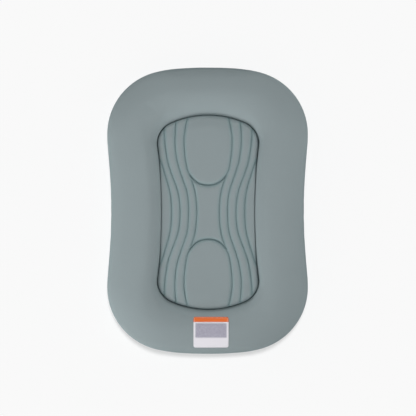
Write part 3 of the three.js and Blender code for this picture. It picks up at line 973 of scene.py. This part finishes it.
def laid_on(surface, plan, proud):
    """Plan points laid on a surface from above, each this far proud of it."""
    met = [met_from_above(surface, x, y) for x, y in plan]
    return np.array([tuple(place + normal * proud) for place, normal in met])


pad_fabric, pad_channels = make_pad_cover()
rim_surface = surface_of(rim_fabric)
pad_surface = surface_of(pad_fabric)


def seam_of_stitches(name, lines, body, slot, finish, seed):
    row = row_of(name, lines, stitch, STITCH_PITCH, finish, unevenness=0.08, seed=seed)
    return declared(row, body, slot)


channel_rows = []
for line in pad_channels:
    inside = pad_line.distance(line) > PAD_CLEARANCE + STITCH_MARGIN
    channel_rows += [(laid_on(pad_surface, run, SEAM_PROUD), False)
                     for run in kept_runs(line, inside)]
seam_of_stitches("pad_channel_stitches", channel_rows, "pad", "fabric", thread_finish, seed=3)


# Label on the foot rim: a white satin patch with a coloured band along its upper edge

LABEL_CENTRE = np.array((0.009, -0.3125))
LABEL_SIZE = np.array((0.090, 0.078))
LABEL_CORNER = 0.005
LABEL_THICKNESS = 0.0005
LABEL_PROUD = 0.0002
LABEL_BAND = 0.01248
LABEL_SEAM = 0.0025
LABEL_JOINT = 0.0001
BORDER_SPACING = 0.0015
CORNER_SPACING = 0.001
PATCH_STEP = 0.002
PANEL_FADE = 0.002
PANEL_MARGIN = 0.005
PANEL_REACH = (0.040, 0.003)
PANEL_COLOUR = (0.36, 0.35, 0.43)


def rounded_rectangle(low, high, radii):
    """The border of a rectangle with its own radius at each corner, from the lower left one
    round against the clock."""
    corners = ((low[0], low[1]), (high[0], low[1]), (high[0], high[1]), (low[0], high[1]))
    border = []
    for k, ((x, y), radius) in enumerate(zip(corners, radii)):
        across, up = (1 if k in (0, 3) else -1), (1 if k in (0, 1) else -1)
        steps = max(1, round(radius * math.pi / 2 / CORNER_SPACING)) if radius else 0
        for i in range(steps + 1):
            angle = math.pi + k * math.pi / 2 + (math.pi / 2 * i / steps if steps else 0)
            border.append((x + radius * (across + math.cos(angle)),
                           y + radius * (up + math.sin(angle))))
    closed = np.array(border + border[:1])
    return np.vstack([respaced(closed[i:i + 2], BORDER_SPACING)[:-1] for i in range(len(border))])


def laid_patch(name, low, high, radii, material, node_name, slot):
    """A thin sewn-on patch that follows the rim."""
    scatter = Scatter()
    edges = scatter.add_border(rounded_rectangle(low, high, radii))
    margin = PATCH_STEP / 2
    columns, rows = np.meshgrid(*(np.arange(low[k] + margin, high[k] - 0.9 * margin, PATCH_STEP)
                                  for k in (0, 1)))
    scatter.add(np.column_stack([columns.ravel(), rows.ravel()]), margin)
    plan, faces, _ = scatter.filled(edges)
    patch = mesh_piece(name, laid_on(rim_surface, plan, LABEL_PROUD), faces, [material])
    modified(patch, "SOLIDIFY", thickness=LABEL_THICKNESS, offset=1)
    return declared(settle(patch), "lounger", slot, node_name)


label_low, label_high = LABEL_CENTRE - LABEL_SIZE / 2, LABEL_CENTRE + LABEL_SIZE / 2
band_foot = label_high[1] - LABEL_BAND
panel_sides = (
    (0, label_low[0] + PANEL_MARGIN, label_high[0] - PANEL_MARGIN),
    (1, *(band_foot - reach for reach in PANEL_REACH)),
)
white_satin = satin_material("white_satin", (0.82, 0.80, 0.85), panel_sides, PANEL_COLOUR)
orange_satin = satin_material("orange_satin", (0.80, 0.156, 0.024))
laid_patch("label_patch", label_low, (label_high[0], band_foot - LABEL_JOINT),
           (LABEL_CORNER, LABEL_CORNER, 0, 0), white_satin, "label", "label_white")
laid_patch("label_coloured_band", (label_low[0], band_foot), label_high,
           (0, 0, LABEL_CORNER, LABEL_CORNER), orange_satin, "label_band", "label_orange")
label_seam = rounded_rectangle(label_low + LABEL_SEAM, label_high - LABEL_SEAM,
                               (LABEL_CORNER / 2,) * 4)
label_row = laid_on(rim_surface, label_seam, LABEL_PROUD + LABEL_THICKNESS + THREAD_RADIUS / 2)
seam_of_stitches("label_stitches", [(label_row, True)], "lounger", "label_white", white_thread,
                 seed=5)


# Floor of the well and underside of the pad: flat closed panels with soft edges

END_SHARES = (0.93, 0.82, 0.68, 0.52, 0.35, 0.18)
PANEL_WEAVE = 0.0015
WELL_PANEL_FOOT = 0.025
BACKING_FOOT = 0.0268


def rippled(plan, z, depth):
    x, y = plan.T
    waves = np.sin(x * 71 + 1.3 * np.sin(y * 29)) + np.sin(y * 53 + 1.7 * np.sin(x * 37))
    return z + depth * waves / 2


def capped_stack(name, rings, material, ripple=0.0):
    """A closed body from rings of equal count, bottom first, its two ends filled with smaller
    and smaller loops."""
    def inner(ring):
        plans = [ring[:, :2] * share for share in END_SHARES]
        return [np.column_stack([plan, rippled(plan, ring[:, 2], ripple)]) for plan in plans]

    low, high = rings[0], rings[-1]
    rings = [*inner(low)[::-1], *rings, *inner(high)]
    return fan_ended(name, rings, low[0][2], high[0][2], [material])


def soft_panel(name, line, inset, low, ripple):
    """A flat panel whose edge is half round."""
    radius = PANEL_WEAVE / 2
    flat = line.loop(inset + 3 * radius)
    rings = [lift(flat, low)]
    for turn in np.linspace(-math.pi / 2, math.pi / 2, 7):
        edge = line.loop(inset + radius * (1 - math.cos(turn)))
        rings.append(lift(edge, low + radius + radius * math.sin(turn)))
    rings.append(lift(flat, low + PANEL_WEAVE))
    return capped_stack(name, rings, base_cloth, ripple)


for node_name, body, line, inset, low, ripple, rests_on in (
    ("well_floor", "lounger", well_line, GAP, WELL_PANEL_FOOT, 0.0002, "base_foam"),
    ("pad_backing", "pad", pad_line, PAD_CLEARANCE, BACKING_FOOT, 0.0001, "pad_foam"),
):
    panel = soft_panel(node_name + "_fabric", line, inset, low, ripple)
    declared(panel, body, "fabric", node_name)
    line.loop(inset)


# Foams

FOAM_DEPTH = COVER_THICKNESS + GAP
FOAM_FLOOR = 0.0033
EDGE_ROUND = 0.002


def declare_foam(piece, node_name, body):
    declared(piece, body, "foam", node_name)


def base_board():
    inset, high = GAP - FOAM_DEPTH, WELL_FLOOR - GAP
    rings = turned_under(well_line, inset, FOAM_FLOOR, EDGE_ROUND, 4)
    rings += rounded_off(well_line, inset, high, EDGE_ROUND, EDGE_ROUND, 4)
    return capped_stack("base_foam_board", rings, foam_finish)


def pad_core():
    inset = PAD_CLEARANCE + PAD_WALL + GAP
    side = pad_line.loop(inset)
    rings = [lift(pad_line.loop(inset + EDGE_ROUND), PAD_COVER_FOOT)]
    rings += [lift(side, PAD_COVER_FOOT + EDGE_ROUND), lift(side, PAD_MIDDLE)]
    rings += shoulder_rings(inset, PAD_CREST - PAD_QUILT - GAP, 8)
    return capped_stack("pad_foam_core", rings, foam_finish)


declare_foam(base_board(), "base_foam", "lounger")
declare_foam(pad_core(), "pad_foam", "pad")


# Zip across the underside, and the two base panels beside it

ZIP_Y = -0.30064
ZIP_Z = 0.0056
CHAIN_END = 0.145
SLOT_END = 0.163
TAPE_END = 0.166
TAPE_EDGE = 0.0036
TAPE_OUTER = 0.0158
TAPE_LAP = 0.001
TAPE_THICKNESS = 0.0006
TOOTH_PITCH = 0.0034
TOOTH_WIDTH = 0.0016
TOOTH_TIP = 0.0005
TOOTH_ROOT = 0.0017
TOOTH_THICKNESS = 0.0022
BEAD_EDGE = 0.0035
BEAD_HALF_HEIGHT = 0.0008
STOP_LENGTH = 0.003
STOP_HEIGHT = 0.0032
SLOT_HALF = 0.007
HEM_ALONG_ZIP = 0.006
HEM_TOP = 0.005
PANEL_THICKNESS = 0.003
RECESS_MARGIN = 0.003
RECESS_TOP = 0.0112


def both(half):
    return -half, half


def block(name, *spans):
    """A box from its two ends along each axis."""
    across, along, up = (sorted(span) for span in spans)
    points = [(x, y, z) for x in across for y in along for z in up]
    faces = [(0, 1, 3, 2), (4, 6, 7, 5), (0, 4, 5, 1), (2, 3, 7, 6), (0, 2, 6, 4), (1, 5, 7, 3)]
    return face_outwards(mesh_piece(name, points, faces, smooth=False))


def combine(piece, other, operation="UNION"):
    """Adds the other closed piece to this one or cuts it away, and drops it."""
    modified(piece, "BOOLEAN", operation=operation, object=other, solver="EXACT")
    settle(piece)
    drop(other)
    return piece


def with_blocks(piece, *blocks):
    """Adds boxes to a piece, each given by its two ends along each axis."""
    for spans in blocks:
        combine(piece, block("part", *spans))
    return piece


def cut_out(piece, *spans):
    return combine(piece, block("cut", *spans), "DIFFERENCE")


def softened(piece, width, segments=2):
    """Bevels a piece's edges, and shades it smooth."""
    modified(piece, "BEVEL", width=width, segments=segments, limit_method="ANGLE",
             angle_limit=0.5, harden_normals=False)
    settle(piece)
    piece.data.shade_smooth()
    return piece


def finished(piece, material, slot, node_name, body="lounger"):
    piece.data.materials.clear()
    piece.data.materials.append(material)
    return declared(piece, body, slot, node_name)


def rim_foam():
    """Foam under the whole of the cover, with a recess above the zip."""
    ring_count, count = rim_skin.shape[:2]
    faces = band_faces(ring_count, count, closed=True, flip=True)
    skin = mesh_piece("foam_skin", rim_skin.reshape(-1, 3), faces)
    points = places(skin) - FOAM_DEPTH * read(skin.data.vertices, "normal")
    points[:, 2] = np.maximum(points[:, 2], FOAM_FLOOR)
    foot = points[-count:].copy()
    foot[:, 2] = FOAM_FLOOR
    drop(skin)
    faces = band_faces(ring_count + 1, count, closed=True, flip=True)
    foam = mesh_piece("rim_foam_bolster", np.vstack([points, foot]), faces, [foam_finish])
    reach = TAPE_OUTER + RECESS_MARGIN
    return cut_out(foam, both(TAPE_END + RECESS_MARGIN), (ZIP_Y - reach, ZIP_Y + reach),
                   (0, RECESS_TOP))


declare_foam(rim_foam(), "rim_foam", "lounger")


def base_panel(node_name, side):
    """One underside panel, with a hem folded up along the zip's slot."""
    loop = outer_line.loop(HEM_WIDTH + GAP, COARSE_STEPS)
    rings = [lift(loop, z) for z in (0, PANEL_THICKNESS)]
    panel = flat_ended(node_name + "_fabric", rings, smooth=False)
    far = -side * OUTER_PLAN[1]
    slot_y = ZIP_Y + side * SLOT_HALF
    cut_out(panel, both(1), (far, ZIP_Y + side * GAP / 2), both(1))
    cut_out(panel, both(SLOT_END), (far, slot_y), both(1))
    with_blocks(panel, (both(SLOT_END), (slot_y, slot_y + side * HEM_ALONG_ZIP), (0, HEM_TOP)))
    return finished(softened(panel, width=0.0006), base_cloth, "fabric", node_name)


base_panel("base_panel_head", 1)
base_panel("base_panel_foot", -1)


def zip_tape(node_name, side):
    """One woven tape, which reaches the other one past both ends of the teeth."""
    across = (ZIP_Y + side * TAPE_EDGE, ZIP_Y + side * TAPE_OUTER)
    heights = (ZIP_Z - TAPE_THICKNESS / 2, ZIP_Z + TAPE_THICKNESS / 2)
    tape = block(node_name + "_weave", both(TAPE_END), across, heights)
    across = (ZIP_Y + side * GAP / 2, ZIP_Y + side * (TAPE_EDGE + TAPE_LAP))
    with_blocks(tape, *(((end * (CHAIN_END + STOP_LENGTH + 2 * GAP), end * TAPE_END),
                         across, heights) for end in (-1, 1)))
    return finished(softened(tape, width=0.0002), tape_cloth, "fabric", node_name)


zip_tape("zip_tape_head", 1)
zip_tape("zip_tape_foot", -1)
zip_plastic = shell_material("zip_plastic", (0.16, 0.19, 0.20), roughness=0.5)
zip_metal = shell_material("zip_painted_metal", (0.20, 0.23, 0.24), roughness=0.38, metallic=0.6)


def joined(piece, other):
    """Adds the other's mesh to the piece's own, and drops it."""
    whole = bmesh.new()
    for part in (piece, other):
        whole.from_mesh(part.data)
    whole.to_mesh(piece.data)
    whole.free()
    piece.data.shade_smooth()
    drop(other)
    return piece


def zip_teeth(node_name, side):
    """Moulded teeth that point to the middle of the zip, on a bead along their roots."""
    start = -CHAIN_END + TOOTH_WIDTH + (0 if side > 0 else TOOTH_PITCH / 2)
    count = int((CHAIN_END - TOOTH_WIDTH / 2 - start) / TOOTH_PITCH)
    line = np.array([(start + i * TOOTH_PITCH, ZIP_Y, ZIP_Z) for i in range(count + 1)])
    tooth = block("tooth", both(TOOTH_WIDTH / 2), (side * TOOTH_TIP, side * BEAD_EDGE),
                  both(TOOTH_THICKNESS / 2))
    softened(tooth, width=0.00028, segments=1)
    teeth = row_of(node_name + "_row", [(line, False)], tooth, TOOTH_PITCH, zip_plastic)
    drop(tooth)
    across, up = full_turn(8)
    y = ZIP_Y + side * (TOOTH_ROOT + BEAD_EDGE) / 2 + (BEAD_EDGE - TOOTH_ROOT) / 2 * across
    z = ZIP_Z + BEAD_HALF_HEIGHT * up
    bead = flat_ended("bead", [np.column_stack([np.full(len(y), x), y, z])
                               for x in np.linspace(-CHAIN_END, CHAIN_END, 60)], [zip_plastic])
    return finished(joined(teeth, bead), zip_plastic, "zip_plastic", node_name)


def zip_stop(node_name, x, inner, outer):
    stop = block(node_name + "_clamp", (x, x + STOP_LENGTH), (ZIP_Y + inner, ZIP_Y + outer),
                 (ZIP_Z - STOP_HEIGHT / 2, ZIP_Z + STOP_HEIGHT / 2))
    softened(stop, width=0.0004, segments=3)
    return finished(stop, zip_metal, "zip_metal", node_name)


zip_teeth("zip_teeth_head", 1)
zip_teeth("zip_teeth_foot", -1)
zip_stop("zip_top_stop_head", CHAIN_END + GAP, TOOTH_TIP, BEAD_EDGE)
zip_stop("zip_top_stop_foot", CHAIN_END + GAP, -BEAD_EDGE, -TOOTH_TIP)
zip_stop("zip_bottom_stop", -CHAIN_END - GAP - STOP_LENGTH, -BEAD_EDGE, BEAD_EDGE)


# Slider and pull

SLIDER_X = 0.1387
SLIDER_HALF = 0.006
SLIDER_NOSE = 0.003
SLIDER_SHOULDER = -0.3 * SLIDER_HALF
PLATE_INNER = 0.0014
PLATE_OUTER = 0.0026
LIP_INNER = 0.0038
LIP_OUTER = 0.0046
LIP_EDGE = 0.0006
BRIDGE_LENGTH = 0.004
BRIDGE_HALF = 0.0004
BAIL_HALF_LENGTH = 0.0035
BAIL_HALF_WIDTH = 0.001
BAIL_BAR = 0.0008
BAIL_CLEAR = 0.0015
PULL_AXIS_Z = 0.00225
PULL_LENGTH = 0.024
PULL_WIDTH = 0.007
PULL_THICKNESS = 0.0009
PULL_WINDOW = 0.005
GRIP_SHARE = 0.45
CAST_VOXEL = 0.00016


def cast(piece, rounds, z):
    """Turns joined blocks into one cast body with soft corners, and sets it on the zip."""
    modified(piece, "REMESH", mode="VOXEL", voxel_size=CAST_VOXEL)
    modified(piece, "SMOOTH", factor=0.5, iterations=rounds)
    settle(piece)
    piece.data.shade_smooth()
    piece.data.transform(Matrix.Translation((SLIDER_X, ZIP_Y, z)))


def plate(name, low, high):
    """A slider plate: square at the closed end, and drawn in to a nose at the other."""
    outline = np.array([
        (SLIDER_HALF, -LIP_OUTER), (SLIDER_HALF, LIP_OUTER), (SLIDER_SHOULDER, LIP_OUTER),
        (-SLIDER_HALF, SLIDER_NOSE), (-SLIDER_HALF, -SLIDER_NOSE), (SLIDER_SHOULDER, -LIP_OUTER),
    ])
    return flat_ended(name, [lift(outline, low), lift(outline, high)], smooth=False)


def rod(name, x, radius, half_length, axis):
    circle = radius * np.column_stack(full_turn(24))
    rings = [lift(circle, end) for end in (-half_length, half_length)]
    if axis == "Y":
        rings = [ring[:, (0, 2, 1)] for ring in rings]
    return flat_ended(name, [ring + (x, 0, 0) for ring in rings], smooth=False)


def slider_body():
    """Two plates with lips, a bridge between them, and a bail below."""
    slider = plate("zip_slider_body", -PLATE_OUTER, -PLATE_INNER)
    combine(slider, plate("far_plate", PLATE_INNER, PLATE_OUTER))
    bail, bail_top = both(BAIL_HALF_WIDTH), -PLATE_OUTER - BAIL_CLEAR
    bail_foot = bail_top - BAIL_BAR
    lips = [((SLIDER_SHOULDER, SLIDER_HALF), (side * LIP_INNER, side * LIP_OUTER),
             (up * LIP_EDGE, up * PLATE_OUTER)) for up in (-1, 1) for side in (-1, 1)]
    bridge = ((SLIDER_HALF - BRIDGE_LENGTH, SLIDER_HALF), both(BRIDGE_HALF), both(PLATE_OUTER))
    posts = [((end * (BAIL_HALF_LENGTH - BAIL_BAR), end * BAIL_HALF_LENGTH), bail,
              (bail_foot, -PLATE_INNER)) for end in (-1, 1)]
    bar = (both(BAIL_HALF_LENGTH), bail, (bail_foot, bail_top))
    cast(with_blocks(slider, *lips, bridge, *posts, bar), 4, ZIP_Z)
    return finished(slider, zip_metal, "zip_metal", "zip_slider", "slider")


def pull_tab():
    """A tab with a round end and a grip hole, whose window goes round the bail."""
    half, wide = PULL_THICKNESS / 2, PULL_WIDTH / 2
    end = -PULL_LENGTH + wide
    tab = block("zip_pull_tab", (end, 0), both(wide), both(half))
    combine(tab, rod("round_end", end, wide, half, "Z"))
    cut_out(tab, (-half - PULL_WINDOW, half), both(BAIL_HALF_WIDTH + GAP), both(1))
    combine(tab, rod("grip_hole", end, wide * GRIP_SHARE, 1, "Z"), "DIFFERENCE")
    combine(tab, rod("bar", 0, half, wide, "Y"))
    cast(tab, 3, PULL_AXIS_Z)
    return finished(tab, zip_metal, "zip_metal", "zip_pull", "pull")


slider_body()
pull_tab()


# Seams on the underside and on the pad's foot

BASE_SEAM_INSET = 0.004
PANEL_SEAM_INSET = 0.005

base_seams = [(lift(outer_line.loop(HEM_WIDTH + BASE_SEAM_INSET), SEAM_PROUD), True)]
for side in (-1, 1):
    y = ZIP_Y + side * (SLOT_HALF + HEM_ALONG_ZIP / 2)
    seam = [(x, y, SEAM_PROUD) for x in np.linspace(-SLOT_END, SLOT_END, 80)]
    base_seams.append((np.array(seam), False))
well_panel_top = WELL_PANEL_FOOT + PANEL_WEAVE
well_seam = [(lift(well_line.loop(PANEL_SEAM_INSET), well_panel_top + SEAM_PROUD), True)]
backing_line = pad_line.loop(PAD_CLEARANCE + PANEL_SEAM_INSET)
backing_seam = [(lift(backing_line, BACKING_FOOT), True)]
for name, lines, body, seed in (
    ("base_stitches", base_seams, "lounger", 7),
    ("well_floor_stitches", well_seam, "lounger", 11),
    ("pad_backing_stitches", backing_seam, "pad", 13),
):
    seam_of_stitches(name, lines, body, "fabric", thread_finish, seed)
drop(stitch)


# Floor, lights and camera

VIEW_LEVEL = 0.07
VIEW_DISTANCE = 5.0
VIEW_WIDTH = 1.0725
SENSOR = 36.0
AIM = (0.0012, 0.0069)
FLOOR_LEVEL = -0.0006
FLOOR_SHADE = 0.40
FLOOR_GLOW = 0.547
FLOOR_REACH = 6
AMBIENT = 0.262
BACKDROP = 0.947
BULB_RADIUS = 0.2
WHITE = (1, 1, 1, 1)

camera_data = bpy.data.cameras.new("camera")
camera_data.sensor_width = SENSOR
camera_data.lens = SENSOR * VIEW_DISTANCE / VIEW_WIDTH
camera = placed("camera", camera_data)
camera.location = (*AIM, VIEW_LEVEL + VIEW_DISTANCE)
scene.camera = camera


def mixed_for_eyes(tree, seen, lit):
    """One shader where the camera, or gloss and glass, look at it, and the other for light."""
    path = node(tree, "ShaderNodeLightPath")
    through = maths(tree, "MAXIMUM", path["Is Glossy Ray"], path["Is Transmission Ray"])
    looks = maths(tree, "MAXIMUM", path["Is Camera Ray"], through)
    return node(tree, "ShaderNodeMixShader", [looks, lit, seen])[0]


def make_floor():
    """A pale floor that keeps the shadow, glows a little for the eye, and is clear from below."""
    square = ((-1, -1), (1, -1), (1, 1), (-1, 1))
    corners = [(x * FLOOR_REACH, y * FLOOR_REACH, FLOOR_LEVEL) for x, y in square]
    floor = mesh_piece("floor", corners, [(0, 1, 2, 3)])
    made = bpy.data.materials.new("pale_floor")
    made.use_nodes = True
    tree = made.node_tree
    tree.nodes.clear()
    shade = (FLOOR_SHADE, FLOOR_SHADE, FLOOR_SHADE, 1)
    plain = node(tree, "ShaderNodeBsdfDiffuse", Color=shade)[0]
    glow = node(tree, "ShaderNodeEmission", Color=WHITE, Strength=FLOOR_GLOW)[0]
    seen = node(tree, "ShaderNodeAddShader", [plain, glow])[0]
    whole = mixed_for_eyes(tree, seen, plain)
    behind = node(tree, "ShaderNodeNewGeometry")["Backfacing"]
    clear = node(tree, "ShaderNodeBsdfTransparent")[0]
    two_sided = node(tree, "ShaderNodeMixShader", [behind, whole, clear])[0]
    node(tree, "ShaderNodeOutputMaterial", [two_sided])
    floor.data.materials.append(made)
    return floor


def lamp_of(data):
    lamp = placed(data.name, data)
    lamp.visible_camera = False
    return lamp


def sun(name, height, around, level, softness):
    """A soft sun at this height above the floor, in degrees, around from straight below the
    picture towards its left side."""
    height, around = math.radians(height), math.radians(around)
    data = bpy.data.lights.new(name, "SUN")
    data.energy = level * math.pi / abs(math.sin(height))
    data.angle = math.radians(softness)
    lamp = lamp_of(data)
    across = math.cos(height)
    towards = (math.sin(around) * across, math.cos(around) * across, -math.sin(height))
    lamp.rotation_mode = "QUATERNION"
    lamp.rotation_quaternion = Vector(towards).to_track_quat("-Z", "Y")
    return lamp


def bulb(name, place, level):
    """A round lamp, whose level is what it gives a white card that lies at the origin."""
    data = bpy.data.lights.new(name, "POINT")
    data.energy = level * 4 * math.pi ** 2 * Vector(place).length ** 3 / place[2]
    data.shadow_soft_size = BULB_RADIUS
    lamp = lamp_of(data)
    lamp.location = place
    return lamp


# Each lamp's name, place and level
LAMPS = (
    ("overhead_lamp", (0, 0, 1.0), 0.25),
    ("key_lamp", (-0.9, -0.9, 0.4), 0.09),
    ("left_lamp", (-1.25, 0, 0.55), 0.068),
    ("right_lamp", (1.2, 0, 0.8), 0.105),
    ("head_lamp", (-0.85, 0.85, 0.8), 0.062),
    ("far_lamp", (0.9, 0.9, 0.4), 0.03),
)


def link_light(lamp, kind, piece, state):
    """Includes the piece among the lamp's receivers or blockers, or leaves it out."""
    linked = bpy.data.collections.new(lamp.name + "_" + kind)
    linked.objects.link(piece)
    linked.collection_objects[0].light_linking.link_state = state
    setattr(lamp.light_linking, kind + "_collection", linked)


floor = make_floor()
object_lamps = [bulb(*values) for values in LAMPS]
object_lamps.append(sun("foot_light", 15, 0, level=0.062, softness=30))
under_light = sun("under_light", -80, 60, level=0.8, softness=8)
for lamp in (*object_lamps, under_light):
    link_light(lamp, "receiver", floor, "EXCLUDE")
link_light(under_light, "blocker", floor, "EXCLUDE")
floor_light = sun("floor_light", 77, 186, level=1 - AMBIENT, softness=10)
link_light(floor_light, "receiver", floor, "INCLUDE")

world = bpy.data.worlds.new("studio")
scene.world = world
world.use_nodes = True
sky = world.node_tree
sky.nodes.clear()
ambient, backdrop = (node(sky, "ShaderNodeBackground", Color=WHITE, Strength=level)[0]
                     for level in (AMBIENT, BACKDROP))
node(sky, "ShaderNodeOutputWorld", [mixed_for_eyes(sky, backdrop, ambient)])
scene.view_settings.view_transform = "Standard"
